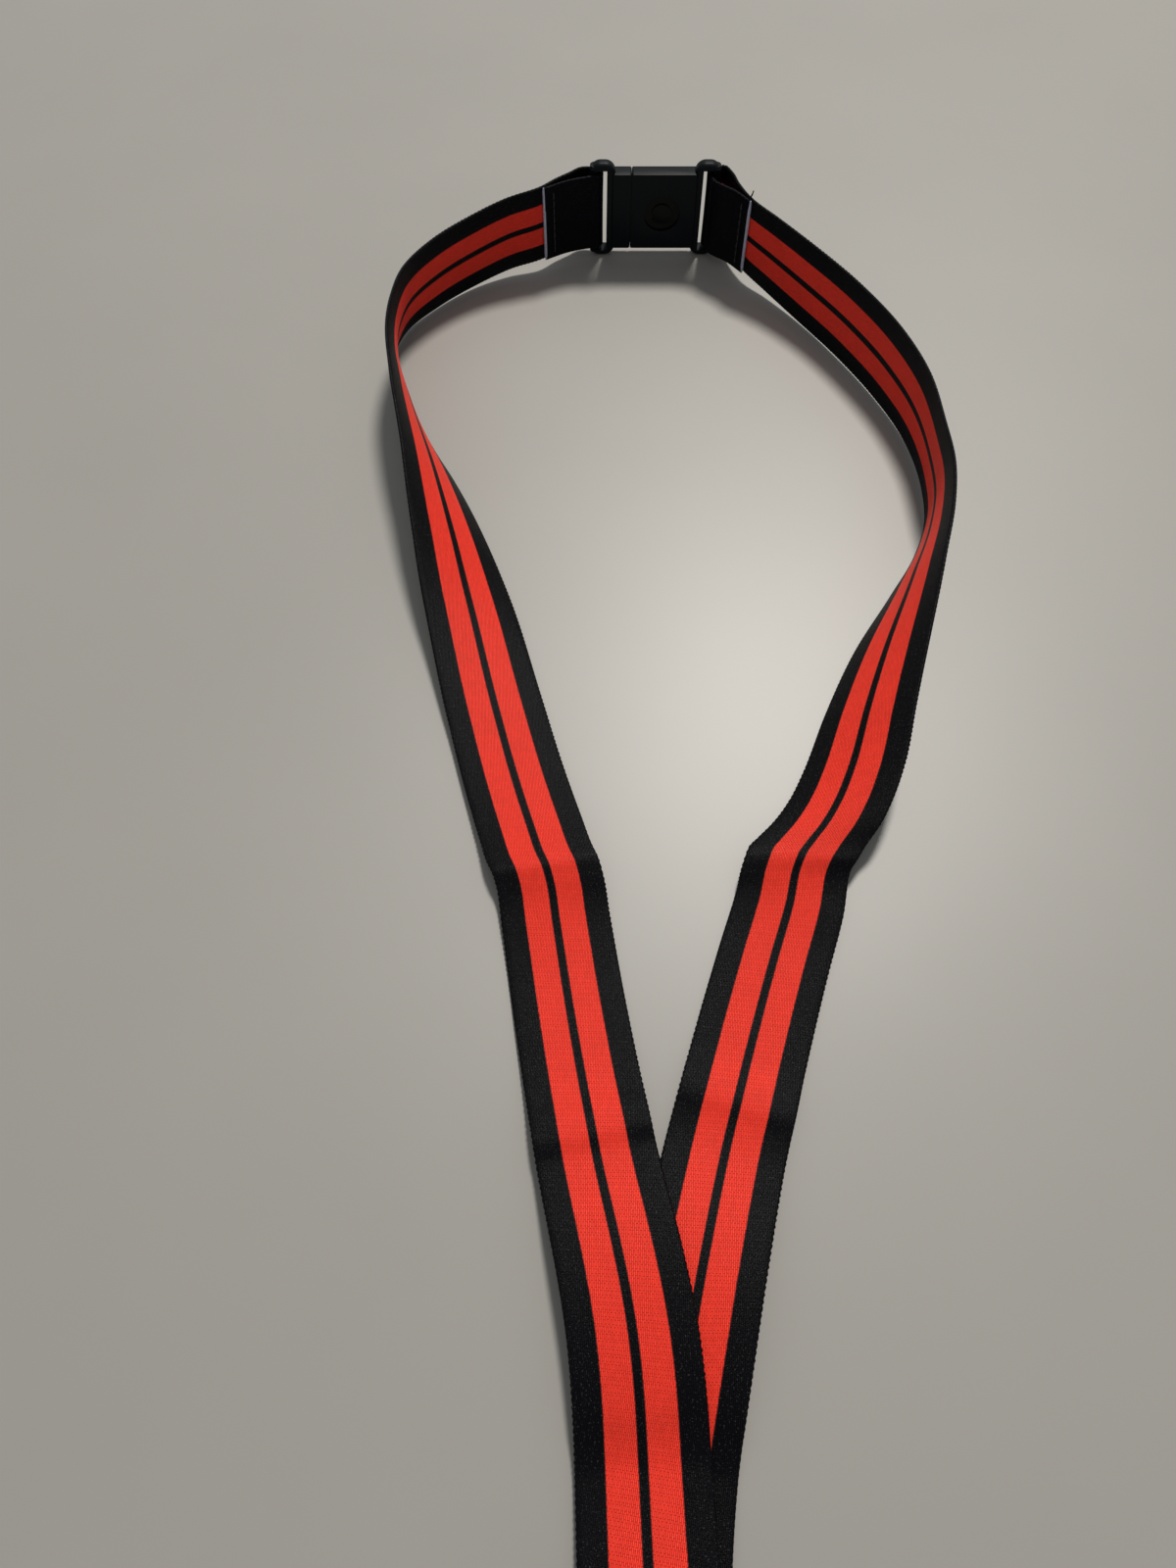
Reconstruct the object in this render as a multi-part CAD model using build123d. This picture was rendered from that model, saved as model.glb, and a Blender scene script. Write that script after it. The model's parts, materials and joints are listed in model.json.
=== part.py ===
"""A flat woven lanyard with a breakaway buckle at the neck and a swivel hook for a badge.

Millimetres, +Z up.  The lanyard lies on a table at z = 0.  Its two tails lie flat, one over the
other at the hook, and its neck part stands on its inner edge.  X runs along the buckle, and the
hook is at the -Y end.  The origin is on the table, under the middle of the whole object.
"""
from build123d import *
import math
import os

# ---- strap -------------------------------------------------------------------------------------
strap_width = 20.0
strap_thickness = 0.9
layer_gap = 0.06          # air between two layers that lie on each other
table_gap = 0.05          # the strap's underside above the table

# ---- buckle ------------------------------------------------------------------------------------
buckle_x = -4.8           # the seam between its two halves
buckle_y = 231.85         # the middle of its thickness
buckle_thickness = 3.8
body_height = 20.2
socket_length = 16.0
shoulder_length = 4.2
loop_length = 6.5         # an end loop, from the body outwards
loop_rail = 1.7           # the loop's upper and lower rails
loop_thickness = 3.4
slot_side_gap = 0.9       # beside the strap's edges, in the slot
bar_radius = 1.25         # the round bar that the strap's end goes round
bar_clearance = 0.12
inner_bar = 2.1           # the loop's bar beside the body
loop_round = 2.7
rail_round = 1.2
overlap = 0.6             # how far a loop or a shoulder runs into the block it grows from
seam_gap = 0.08
cavity_thickness = 1.8
cavity_width = 15.6
cavity_depth = 13.6
tongue_clearance = 0.1
tongue_length = 12.8
arm_width = 2.0
arm_gap = 1.6
barb = 0.5                # how far an arm's tip stands out
barb_length = 3.0
badge_radius = 4.6        # the plain round recess on the socket's face
badge_depth = 0.6
badge_place = 8.0        # from the seam to its middle
badge_pad_radius = 2.6
badge_pad_drop = 0.25     # the pad's face, below the socket's
badge_drop = 0.6          # the recess's middle, below the socket's
edge_round = 0.5

# ---- hook --------------------------------------------------------------------------------------
hook_x = -7.0
eye_y = -192.96           # the eye's bar, which the strap ends go round
eye_bar_radius = 1.3
eye_bar_clearance = 0.15
eye_side_gap = 0.6        # beside the strap's edges, in the eye
eye_opening = 5.0
eye_base_thickness = 2.8
stem_radius = 1.6
stem_clearance = 0.05
head_radius = 2.4
head_length = 1.3
collar_radius = 3.3
collar_length = 5.4
collar_gap = 0.4
head_gap = 0.1
shoulder_depth = 2.6
shoulder_round = 1.6
plate_thickness = 4.2
bow_inner_radius = 5.0
bow_width = 3.4
hook_inner_length = 23.3  # from the collar to the inside of the bow
nose_length = 2.0
pivot_drop = 4.2          # from the collar's lower end to the gate's pin
pin_radius = 0.75
pin_clearance = 0.05
knuckle_radius = 2.0
knuckle_thickness = 1.1
knuckle_gap = 0.1
fork_gap = 2.4
gate_width = 3.0
gate_thickness = 3.6
gate_gap = 0.25
gate_neck = 2.4
gate_round = 0.4
thumb_length = 4.6
thumb_reach = 1.6
spring_radius = 1.7
spring_hole = 0.9
spring_gap = 0.05
through = 1.0             # how far a cut runs past what it cuts

# ---- stitching ---------------------------------------------------------------------------------
thread = 0.4
stitch_inset = 2.5        # from the cut edge to the row of stitches
stitch_margin = 1.5       # from the strap's edges to the row's ends
box_stitch_length = 10.0
box_stitch_inset = 0.5    # from the strap ends' cut edge
stack_length = 18.0       # the strap ends' overlap, from the eye bar's middle
loose_thread_length = 3.9

# ---- worked out --------------------------------------------------------------------------------
layer = strap_thickness + layer_gap
half = strap_thickness / 2
loop_height = strap_width + 2 * (slot_side_gap + loop_rail)
middle_z = loop_height / 2
strap_z = middle_z - strap_width / 2          # the strap's lower edge at the buckle
socket_end = buckle_x + socket_length
shoulder_end = buckle_x - shoulder_length
inner_loop = eye_bar_radius + eye_bar_clearance + half
outer_loop = inner_loop + layer
eye_z = outer_loop + half + table_gap
collar_y = eye_y - eye_bar_radius - eye_opening - eye_base_thickness - collar_gap
head_y = collar_y - collar_length
bow_y = head_y - hook_inner_length + bow_inner_radius
arm_x = bow_inner_radius + bow_width / 2
flat_z = half + table_gap
stack_y = eye_y + stack_length
merge_y = stack_y - box_stitch_inset - box_stitch_length   # the layers lie together beyond it
eye_inner_width = strap_width + 2 * eye_side_gap
left_edge = hook_x + strap_width / 2          # the tails' inner edges, at the hook
right_edge = hook_x - strap_width / 2

plug_bar_x = shoulder_end - loop_length + bar_radius
socket_bar_x = socket_end + loop_length - bar_radius

# ---- the strap's route -------------------------------------------------------------------------
# A folded strap end in plan, measured from its buckle bar: where the neck part ends, the points
# behind the bar, and the point in front.
LEFT_START = (plug_bar_x - 13.35, buckle_y - 6.2)
LEFT_BEHIND = [(plug_bar_x - 10.05, buckle_y - 3.15), (plug_bar_x - 6.35, buckle_y - 0.3),
               (plug_bar_x - 3.6, buckle_y + 1.6)]
LEFT_FRONT = (plug_bar_x - 7.25, buckle_y - 3.95)
RIGHT_START = (socket_bar_x + 8.6, buckle_y - 11.6)
RIGHT_BEHIND = [(socket_bar_x + 5.55, buckle_y - 4.85), (socket_bar_x + 4.1, buckle_y),
                (socket_bar_x + 2.4, buckle_y + 2.3)]
RIGHT_FRONT = (socket_bar_x + 3.9, buckle_y - 6.6)
# The rest of the route.  Each point is on the strap's inner edge: x, y, height above the table,
# and how far the strap is rolled up from lying flat, in degrees.  The outer edge rises.
LEFT_TAIL = [(left_edge, stack_y, flat_z + 3 * layer, 0), (left_edge, -150, flat_z + 1.2, 0),
             (left_edge - 0.2, -96, flat_z + 1.1, 0), (left_edge - 0.6, -62, flat_z + 1.1, 0),
             (left_edge - 2.2, -33, flat_z + 1.1, 0), (-5.3, -2, flat_z + 1.1, 0),
             (-9.6, 21, flat_z, 0), (-13.2, 43, flat_z, 0),
             (-16.4, 55, flat_z, 0)]
LEFT_NECK = [LEFT_TAIL[-1], (-20.6, 68, flat_z, 2), (-25.4, 85, flat_z, 6), (-32.8, 111, 0.5, 21),
             (-38.8, 128, 0.5, 37), (-46.2, 146, 0.4, 56), (-54.6, 164, 0.3, 73),
             (-60.0, 177, 0.3, 88), (-61.6, 187, 0.4, 96), (-59.4, 197, 0.4, 99),
             (-53.8, 207.4, 0.4, 98), (-45.5, 216.9, 0.8, 95), (-36.8, 222.0, 1.8, 91),
             (*LEFT_START, strap_z, 90)]
RIGHT_TAIL = [(right_edge, stack_y, flat_z + 2 * layer, 0), (right_edge, -150, flat_z, 0),
              (right_edge, -96, flat_z, 0), (right_edge + 1.4, -60, flat_z, 0), (-9.4, -27, flat_z, 0),
              (-3.6, -5, flat_z, 0), (2.9, 16, flat_z, 0), (8.4, 34, flat_z, 0),
              (12.6, 45.5, flat_z, 3)]
RIGHT_NECK = [RIGHT_TAIL[-1], (18.4, 56.5, 0.6, 19), (25.5, 66.4, 0.6, 28), (32.4, 81, 0.6, 38),
              (40.1, 96.5, 0.5, 50), (50.0, 112, 0.4, 68), (56.8, 123, 0.3, 80),
              (60.6, 133, 0.2, 87), (61.5, 144, 0.2, 90), (59.4, 160, 0.3, 87),
              (54.4, 174, 0.3, 84), (46.8, 189, 0.3, 83), (37.0, 204.5, 0.6, 84),
              (30.2, 213.8, 1.5, 87), (*RIGHT_START, strap_z, 90)]


def unit(v):
    """A vector of length one in the same direction."""
    return v / v.length


def laid(route, side, start=None, end=None):
    """The strap's sections along a route on the table: the inner edge's point, the direction
    across to the outer edge, and the striped face's normal.  Side is 1 for the left strap and -1
    for the right.  Start and end are headings that a neighbouring piece has."""
    points = [Vector(x, y, z) for x, y, z, _ in route]
    sections = []
    for i, (point, (_, _, _, roll)) in enumerate(zip(points, route)):
        ahead = points[min(i + 1, len(points) - 1)] - points[max(i - 1, 0)]
        if start is not None and i == 0:
            ahead = start
        if end is not None and i == len(points) - 1:
            ahead = end
        ahead = unit(Vector(ahead.X, ahead.Y, 0))
        outward = Vector(-ahead.Y, ahead.X, 0) * side
        turn = math.radians(roll)
        across = outward * math.cos(turn) + Vector(0, 0, math.sin(turn))
        face = Vector(0, 0, math.cos(turn)) - outward * math.sin(turn)
        sections.append((point, across, face))
    return sections


def strap_solid(sections):
    """A length of strap, as straight-sided panels between its sections."""
    wires = []
    for point, across, face in sections:
        far = point + across * strap_width
        lift = face * half
        wires.append(Wire.make_polygon([point - lift, far - lift, far + lift, point + lift]))
    return Solid.make_loft(wires, ruled=True)


def heading(a, b):
    """The level direction from one point to another."""
    return unit(Vector(b[0] - a[0], b[1] - a[1], 0))


def fold_route(start, behind, bar_x, side, front):
    """A strap end's route in plan: from the neck, behind the buckle's bar, round the bar through
    its slot, and back along the front to the cut edge, which lies on the start.  The side is 1
    where the slot is to the right of the bar."""
    reach = bar_radius + bar_clearance + half
    turn = [(bar_x + side * reach * math.sin(a), buckle_y + reach * math.cos(a))
            for a in (math.radians(d) for d in range(0, 181, 30))]
    along = heading(start, behind[0])
    cut = (start[0] + (along.X + side * along.Y) * layer, start[1] + (along.Y - side * along.X) * layer)
    return [(x, y, strap_z, 90) for x, y in [start, *behind, *turn, front, cut]]


LEFT_FOLD = fold_route(LEFT_START, LEFT_BEHIND, plug_bar_x, 1, LEFT_FRONT)
RIGHT_FOLD = fold_route(RIGHT_START, RIGHT_BEHIND, socket_bar_x, -1, RIGHT_FRONT)


# ---- the buckle's halves -----------------------------------------------------------------------
def rounded_block(x0, x1, y0, y1, z0, z1, radius):
    """A block between two corners, with its edges along Y rounded."""
    block = Pos((x0 + x1) / 2, (y0 + y1) / 2, (z0 + z1) / 2) * Box(x1 - x0, y1 - y0, z1 - z0)
    return fillet(block.edges().filter_by(Axis.Y), radius) if radius else block


def end_loop(inner_x, outer_x):
    """A flat loop that the strap's end goes round: a rounded frame, with a round bar along Z at
    its outer side and a slot between the two."""
    way = 1 if outer_x > inner_x else -1
    low, high = sorted((inner_x, outer_x))
    depth = loop_thickness / 2
    frame = rounded_block(low, high, buckle_y - depth, buckle_y + depth, 0, loop_height, loop_round)
    frame = fillet(frame.faces().sort_by(Axis.Y)[0].edges(), rail_round)
    frame = fillet(frame.faces().sort_by(Axis.Y)[-1].edges(), rail_round)
    window_low, window_high = sorted((inner_x + way * inner_bar, outer_x + way))
    window = Pos((window_low + window_high) / 2, buckle_y, middle_z) * Box(
        window_high - window_low, 2 * buckle_thickness, strap_width + 2 * slot_side_gap)
    bar = Pos(outer_x - way * bar_radius, buckle_y, middle_z) * Cylinder(
        bar_radius, loop_height - loop_rail)
    return frame - window + bar


def socket_half():
    """The buckle's female half: a flat hollow body, open towards the plug, with a plain round
    recess on its face, and a strap loop."""
    depth = buckle_thickness / 2
    low = middle_z - body_height / 2
    body = rounded_block(buckle_x, socket_end + overlap, buckle_y - depth, buckle_y + depth,
                         low, low + body_height, edge_round)
    cavity = Pos(buckle_x + cavity_depth / 2, buckle_y, middle_z) * Box(
        cavity_depth, cavity_thickness, cavity_width)
    floor = Plane((buckle_x + badge_place, buckle_y - depth + badge_depth, middle_z - badge_drop),
                  z_dir=(0, -1, 0))
    recess = floor * extrude(Circle(badge_radius), 2 * badge_depth)
    pad = floor * extrude(Circle(badge_pad_radius), badge_depth - badge_pad_drop)
    return body - cavity - recess + pad + end_loop(socket_end, socket_end + loop_length)


def plug_half():
    """The buckle's male half: a strap loop, a shoulder, and a tongue between two springy arms
    whose barbs point outwards."""
    depth = buckle_thickness / 2
    low = middle_z - body_height / 2
    seam = buckle_x - seam_gap
    shoulder = rounded_block(shoulder_end - overlap, seam, buckle_y - depth, buckle_y + depth,
                             low, low + body_height, edge_round)
    thick = cavity_thickness - 2 * tongue_clearance
    wide = cavity_width - 2 * tongue_clearance
    root = seam - overlap
    tip_x = buckle_x + tongue_length
    tongue_width = wide - 2 * (arm_width + arm_gap + barb)
    half_plug = shoulder + Pos((root + tip_x) / 2, buckle_y, middle_z) * Box(
        tip_x - root, thick, tongue_width)
    for side in (-1, 1):
        arm_z = middle_z + side * (wide / 2 - barb - arm_width / 2)
        half_plug += Pos((root + tip_x) / 2, buckle_y, arm_z) * Box(tip_x - root, thick, arm_width)
        half_plug += Pos(tip_x - barb_length / 2, buckle_y, arm_z + side * barb / 2) * Box(
            barb_length, thick, arm_width + barb)
    return half_plug + end_loop(shoulder_end, shoulder_end - loop_length)


# ---- the hook ----------------------------------------------------------------------------------
def along_y(radius, y0, y1, x=hook_x):
    """A round bar along Y, at the hook's height."""
    return Pos(x, (y0 + y1) / 2, eye_z) * Rot(90, 0, 0) * Cylinder(radius, abs(y1 - y0))


def swivel_eye():
    """The eye that holds the strap: a round bar, two side bars, a base, and a headed stem."""
    side_x = eye_inner_width / 2 + eye_bar_radius
    base_y = eye_y - eye_bar_radius - eye_opening - eye_base_thickness / 2
    eye = Pos(hook_x, eye_y, eye_z) * Rot(0, 90, 0) * Cylinder(eye_bar_radius, 2 * side_x)
    for side in (-1, 1):
        eye += along_y(eye_bar_radius, eye_y, base_y, hook_x + side * side_x)
        eye += Pos(hook_x + side * side_x, eye_y, eye_z) * Sphere(eye_bar_radius)
    base = Pos(hook_x, base_y, eye_z) * Box(2 * (side_x + eye_bar_radius), eye_base_thickness,
                                            2 * eye_bar_radius)
    eye += fillet(base.edges().filter_by(Axis.Z), 1.0)
    head_end = head_y - head_gap - head_length
    eye += along_y(stem_radius, base_y, head_end)
    return eye + along_y(head_radius, head_y - head_gap, head_end)


def plate(sketch, thickness):
    """A flat piece cut to an outline, centred on the hook's height."""
    return Pos(0, 0, eye_z - thickness / 2) * extrude(sketch, thickness)


gate_x = hook_x + arm_x
pivot_y = head_y - pivot_drop
nose_y = bow_y + nose_length


def hook_body():
    """The hook: a bored collar, a shoulder, a spine down one side, a round bow, a short nose, and
    a fork on the other side for the gate's pin."""
    outer = bow_inner_radius + bow_width
    bow = Pos(hook_x, bow_y) * (Circle(outer) - Circle(bow_inner_radius))
    bow &= Pos(hook_x, bow_y - outer) * Rectangle(2 * outer, 2 * outer)
    shoulder_top = head_y + shoulder_depth
    outline = bow + Pos(hook_x - arm_x, (bow_y + shoulder_top) / 2) * Rectangle(
        bow_width, shoulder_top - bow_y)
    outline += Pos(gate_x, bow_y + nose_length / 2) * Rectangle(bow_width, nose_length)
    outline += Pos(hook_x, shoulder_top - shoulder_depth / 2) * Rectangle(
        2 * arm_x + bow_width, shoulder_depth)
    outline += Pos(gate_x, (shoulder_top + pivot_y) / 2) * Rectangle(
        2 * knuckle_radius, shoulder_top - pivot_y)
    outline += Pos(gate_x, pivot_y) * Circle(knuckle_radius)
    body = plate(outline, plate_thickness)
    body = fillet(body.edges().filter_by(Axis.Z).group_by(Axis.Y)[-1], shoulder_round)
    body += along_y(collar_radius, collar_y, head_y)
    body -= along_y(stem_radius + stem_clearance, collar_y + through, head_y - through)
    body -= Pos(gate_x, pivot_y, eye_z) * Box(
        3 * bow_width, 2 * (knuckle_radius + gate_gap + knuckle_gap), fork_gap)
    return body - Pos(gate_x, pivot_y, eye_z) * Cylinder(pin_radius, 2 * plate_thickness)


def gate():
    """The sprung lever that closes the hook: a knuckle on the pin, a bar down to the nose, and a
    thumb pad on its outer side."""
    knuckle_z = eye_z - fork_gap / 2 + knuckle_gap + knuckle_thickness / 2
    top = pivot_y - knuckle_radius - gate_gap
    bottom = nose_y + gate_gap
    bar = plate(Pos(gate_x, (top + bottom) / 2) * Rectangle(gate_width, top - bottom),
                gate_thickness)
    lever = fillet(bar.edges().filter_by(Axis.X), gate_round)
    lever += plate(Pos(gate_x + gate_width / 2 + thumb_reach / 2 - gate_round / 2,
                       (top + bottom) / 2) * Rectangle(thumb_reach + gate_round, thumb_length),
                   gate_thickness)
    lever += Pos(gate_x, (pivot_y + top - through) / 2, knuckle_z) * Box(
        gate_neck, pivot_y - top + through, knuckle_thickness)
    lever += Pos(gate_x, pivot_y, knuckle_z) * Cylinder(knuckle_radius, knuckle_thickness)
    return lever - Pos(gate_x, pivot_y, eye_z) * Cylinder(
        pin_radius + pin_clearance, 2 * plate_thickness)


def gate_pin():
    """The rivet that the gate turns on."""
    return Pos(gate_x, pivot_y, eye_z) * Cylinder(pin_radius, plate_thickness)


def gate_spring():
    """The closed coil beside the gate's knuckle, as one sleeve."""
    low = eye_z - fork_gap / 2 + knuckle_gap + knuckle_thickness + spring_gap
    high = eye_z + fork_gap / 2 - spring_gap
    return Pos(gate_x, pivot_y, (low + high) / 2) * (
        Cylinder(spring_radius, high - low) - Cylinder(spring_hole, high - low))


# ---- the strap ends at the hook ----------------------------------------------------------------
def end_turn(inner_x, side, radius, top_z, return_z):
    """A strap end that goes over the eye's bar, round it and back underneath."""
    across = Vector(-side, 0, 0)
    up = Vector(0, 0, 1)
    sections = [(Vector(inner_x, stack_y, top_z), across, up),
                (Vector(inner_x, merge_y, top_z), across, up)]
    for degrees in range(90, 271, 30):
        turn = math.radians(degrees)
        out = Vector(0, math.cos(turn), math.sin(turn))
        sections.append((Vector(inner_x, eye_y, eye_z) + out * radius, across, out))
    sections.append((Vector(inner_x, merge_y, return_z), across, -up))
    sections.append((Vector(inner_x, stack_y, return_z), across, -up))
    return strap_solid(sections)


# ---- stitching ---------------------------------------------------------------------------------
def fold_stitch(route, way):
    """A row of thread down the front of a folded strap end, a little in from its cut edge."""
    (x0, y0, _, _), (x1, y1, _, _) = route[-2:]
    along = heading((x0, y0), (x1, y1))
    spot = Vector(x1, y1, 0) - along * stitch_inset
    front = Vector(along.Y, -along.X, 0) * way
    centre = spot + front * (half + thread / 2)
    row = Box(thread, thread, strap_width - 2 * stitch_margin)
    turn = math.degrees(math.atan2(along.Y, along.X))
    return Pos(centre.X, centre.Y, middle_z) * Rot(0, 0, turn) * row


def loose_thread(route, way):
    """The end of the sewing thread, which stands up beside the cut edge."""
    (x0, y0, _, _), (x1, y1, _, _) = route[-2:]
    along = heading((x0, y0), (x1, y1))
    front = Vector(along.Y, -along.X, 0) * way
    foot = Vector(x1, y1, 0) - along * 3 * thread + front * (half + thread / 2 + table_gap)
    return Pos(foot.X, foot.Y, strap_z + strap_width - stitch_margin) * Rot(8, 6, 0) * Cylinder(
        thread / 2, loose_thread_length, align=(Align.CENTER, Align.CENTER, Align.MIN))


def tail_stitch():
    """A box of stitches with a cross, on top of the joined tails."""
    wide = strap_width - 4 * stitch_margin
    centre_y = stack_y - box_stitch_inset - box_stitch_length / 2
    outline = Rectangle(wide, box_stitch_length) - Rectangle(wide - 2 * thread,
                                                             box_stitch_length - 2 * thread)
    tilt = math.degrees(math.atan2(box_stitch_length, wide))
    reach = math.hypot(wide, box_stitch_length) - 2 * thread
    for angle in (tilt, -tilt):
        outline += Rot(0, 0, angle) * Rectangle(reach, thread)
    return Pos(hook_x, centre_y, flat_z + 3 * layer + half) * extrude(outline, thread)


def build():
    """Every piece by name."""
    left, right = 1, -1
    left_start = heading(LEFT_FOLD[0], LEFT_FOLD[1])
    right_start = heading(RIGHT_FOLD[0], RIGHT_FOLD[1])
    down_tails = Vector(0, 1, 0)
    left_crease = heading(LEFT_TAIL[-2], LEFT_NECK[1])
    right_crease = heading(RIGHT_TAIL[-2], RIGHT_NECK[1])
    return {
        "socket_half": socket_half(),
        "plug_half": plug_half(),
        "left_strap_fold": strap_solid(laid(LEFT_FOLD, left, left_start)),
        "right_strap_fold": strap_solid(laid(RIGHT_FOLD, right, right_start)),
        "left_neck_strap": strap_solid(laid(LEFT_NECK, left, left_crease, left_start)),
        "right_neck_strap": strap_solid(laid(RIGHT_NECK, right, right_crease, right_start)),
        "left_tail_strap": strap_solid(laid(LEFT_TAIL, left, down_tails, left_crease)),
        "right_tail_strap": strap_solid(laid(RIGHT_TAIL, right, down_tails, right_crease)),
        "left_strap_end": end_turn(LEFT_TAIL[0][0], left, outer_loop, flat_z + 3 * layer, flat_z),
        "right_strap_end": end_turn(RIGHT_TAIL[0][0], right, inner_loop, flat_z + 2 * layer,
                                    flat_z + layer),
        "left_fold_stitch": fold_stitch(LEFT_FOLD, -1),
        "right_fold_stitch": fold_stitch(RIGHT_FOLD, 1),
        "loose_thread_end": loose_thread(RIGHT_FOLD, 1),
        "tail_stitch": tail_stitch(),
        "swivel_eye": swivel_eye(),
        "hook_body": hook_body(),
        "gate": gate(),
        "gate_pin": gate_pin(),
        "gate_spring": gate_spring(),
    }


os.makedirs("parts", exist_ok=True)
for name, piece in build().items():
    export_step(piece, os.path.join("parts", name + ".step"))
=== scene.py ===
"""Lanyard with a breakaway buckle and a badge hook: the finished look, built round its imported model.

Metres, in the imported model's own frame.  Routes and cross-sections are written in millimetres and
turned into metres where a mesh is made.
"""

import json
import math

import bmesh
import bpy
import numpy as np
from bpy.props import FloatProperty, FloatVectorProperty, PointerProperty
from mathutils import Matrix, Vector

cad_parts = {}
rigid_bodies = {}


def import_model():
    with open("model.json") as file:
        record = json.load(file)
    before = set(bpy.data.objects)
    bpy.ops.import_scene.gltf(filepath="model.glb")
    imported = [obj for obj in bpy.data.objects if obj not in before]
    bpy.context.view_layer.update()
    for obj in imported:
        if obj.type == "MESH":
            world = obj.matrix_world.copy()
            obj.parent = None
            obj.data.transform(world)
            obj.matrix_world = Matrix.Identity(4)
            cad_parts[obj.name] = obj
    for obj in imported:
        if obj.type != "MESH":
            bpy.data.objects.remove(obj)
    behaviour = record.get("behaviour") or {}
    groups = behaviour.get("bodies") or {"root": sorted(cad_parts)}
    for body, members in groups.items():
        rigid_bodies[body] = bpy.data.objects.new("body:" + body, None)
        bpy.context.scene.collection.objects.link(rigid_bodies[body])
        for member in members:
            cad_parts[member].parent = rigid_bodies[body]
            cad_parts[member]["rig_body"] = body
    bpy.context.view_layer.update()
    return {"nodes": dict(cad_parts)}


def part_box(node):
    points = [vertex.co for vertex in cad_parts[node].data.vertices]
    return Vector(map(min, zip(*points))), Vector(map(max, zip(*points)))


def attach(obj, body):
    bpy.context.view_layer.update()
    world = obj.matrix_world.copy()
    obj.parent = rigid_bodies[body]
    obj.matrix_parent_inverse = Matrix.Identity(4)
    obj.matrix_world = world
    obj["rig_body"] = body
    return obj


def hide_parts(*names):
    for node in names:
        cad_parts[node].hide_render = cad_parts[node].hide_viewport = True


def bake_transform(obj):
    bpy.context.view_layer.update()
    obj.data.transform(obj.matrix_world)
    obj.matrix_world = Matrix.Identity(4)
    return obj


bl_info = {
    "name": "Woven lanyard",
    "version": (1, 0, 0),
    "blender": (4, 5, 0),
    "location": "View3D > Sidebar > Lanyard",
    "description": "Builds a woven lanyard with a breakaway buckle and a badge hook",
    "category": "Add Mesh",
}

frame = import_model()
MM = 0.001
LEFT, RIGHT = 1, -1        # which way the outer edge lies, seen along the strap towards the neck


def corners(node):
    """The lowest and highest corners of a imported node, in millimetres."""
    low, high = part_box(node)
    return np.array(low) / MM, np.array(high) / MM


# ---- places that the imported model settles, in millimetres --------------------------------------
PLUG_LOW = corners("plug_half")[0]
SOCKET_LOW, SOCKET_HIGH = corners("socket_half")
FOLD_LOW, FOLD_HIGH = corners("left_strap_fold")
EYE_LOW, EYE_HIGH = corners("swivel_eye")
WIDTH = FOLD_HIGH[2] - FOLD_LOW[2]
STRAP_Z = FOLD_LOW[2]
BUCKLE_Y = (SOCKET_LOW[1] + SOCKET_HIGH[1]) / 2
BAR_RADIUS = 1.25
TURN_RADIUS = 1.82         # the strap's middle, round a buckle bar
PLUG_BAR_X = PLUG_LOW[0] + BAR_RADIUS
SOCKET_BAR_X = SOCKET_HIGH[0] - BAR_RADIUS
EYE_BAR_RADIUS = 1.3
RECESS_X, RECESS_Z = 3.2, 12.0       # the middle of the round recess in the socket's face
# How far the recess's polish and its painted shade reach: a little past its rim, so the rim is shaded
# too.
RECESS_RADIUS = 4.85
HOOK_X = (EYE_LOW[0] + EYE_HIGH[0]) / 2
EYE_Y = EYE_HIGH[1] - EYE_BAR_RADIUS
EYE_Z = (EYE_LOW[2] + EYE_HIGH[2]) / 2
LAYER = 0.96               # from one layer of strap to the next
FLAT_Z = 0.5               # the strap's middle where it lies on the table
ON_TABLE = 15              # the key station from which a strap follows the table
FACE_COLUMNS = 21          # mesh columns across each face of a strap
PICK_PITCH, PICK_DEPTH = 1.05, 0.11  # the waves that the weft makes along a selvedge
INNER_TURN = 1.9           # the strap's middle round the eye's bar: the right strap
OUTER_TURN = INNER_TURN + LAYER
STACK_LENGTH = 18.0        # from the eye's bar to the strap ends' cut edges
STACK_Y = EYE_Y + STACK_LENGTH
MERGE_Y = EYE_Y + 7.5      # the layers lie together beyond it

# ---- the stitches, in millimetres --------------------------------------------------------------
ROW_MARGIN = 1.5           # from the strap's edges to the ends of a fold's row
ROW_INSET = 2.5            # from the cut edge to the row
HOLE = 0.12                # half the gap between one stitch and the next
# The box on the tails: across the strap, and back from the strap ends' cut edges.
BOX_CORNERS = [(3.0, 0.5), (17.0, 0.5), (17.0, 10.5), (3.0, 10.5)]

# ---- the straps' routes ------------------------------------------------------------------------
# Each station is on the strap's inner edge: x, y, height, and how far the strap is rolled up from
# lying flat, in degrees.  The outer edge rises.
LEFT_ROUTE = [
    (3.0, -152, 1.8, 0), (3.0, -141, 1.6, 0), (2.8, -96, 1.6, 0), (2.4, -62, 1.6, 0),
    (0.8, -33, 1.6, 0), (-5.3, -2, 1.6, 0), (-9.4, 21, 0.5, 0), (-12.0, 37.2, 0.5, 0),
    (-13.1, 43.9, 0.5, 0),
    (-13.9, 46.8, 0.5, 0), (-15.2, 50.0, 0.5, 0), (-17.1, 56.2, 0.5, 0), (-20.8, 68.4, 0.5, 2),
    (-25.4, 85, 0.5, 6), (-32.8, 111, 0.5, 21), (-39.1, 128, 0.5, 38), (-47.3, 146, 0.5, 58),
    (-57.4, 164, 0.5, 79), (-63.6, 176, 0.5, 93), (-65.5, 187, 0.5, 99), (-62.9, 198.2, 0.5, 98),
    (-55.2, 208.3, 0.5, 94), (-45.5, 216.9, 0.8, 92), (-36.8, 222.0, 1.8, 91),
]
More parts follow.
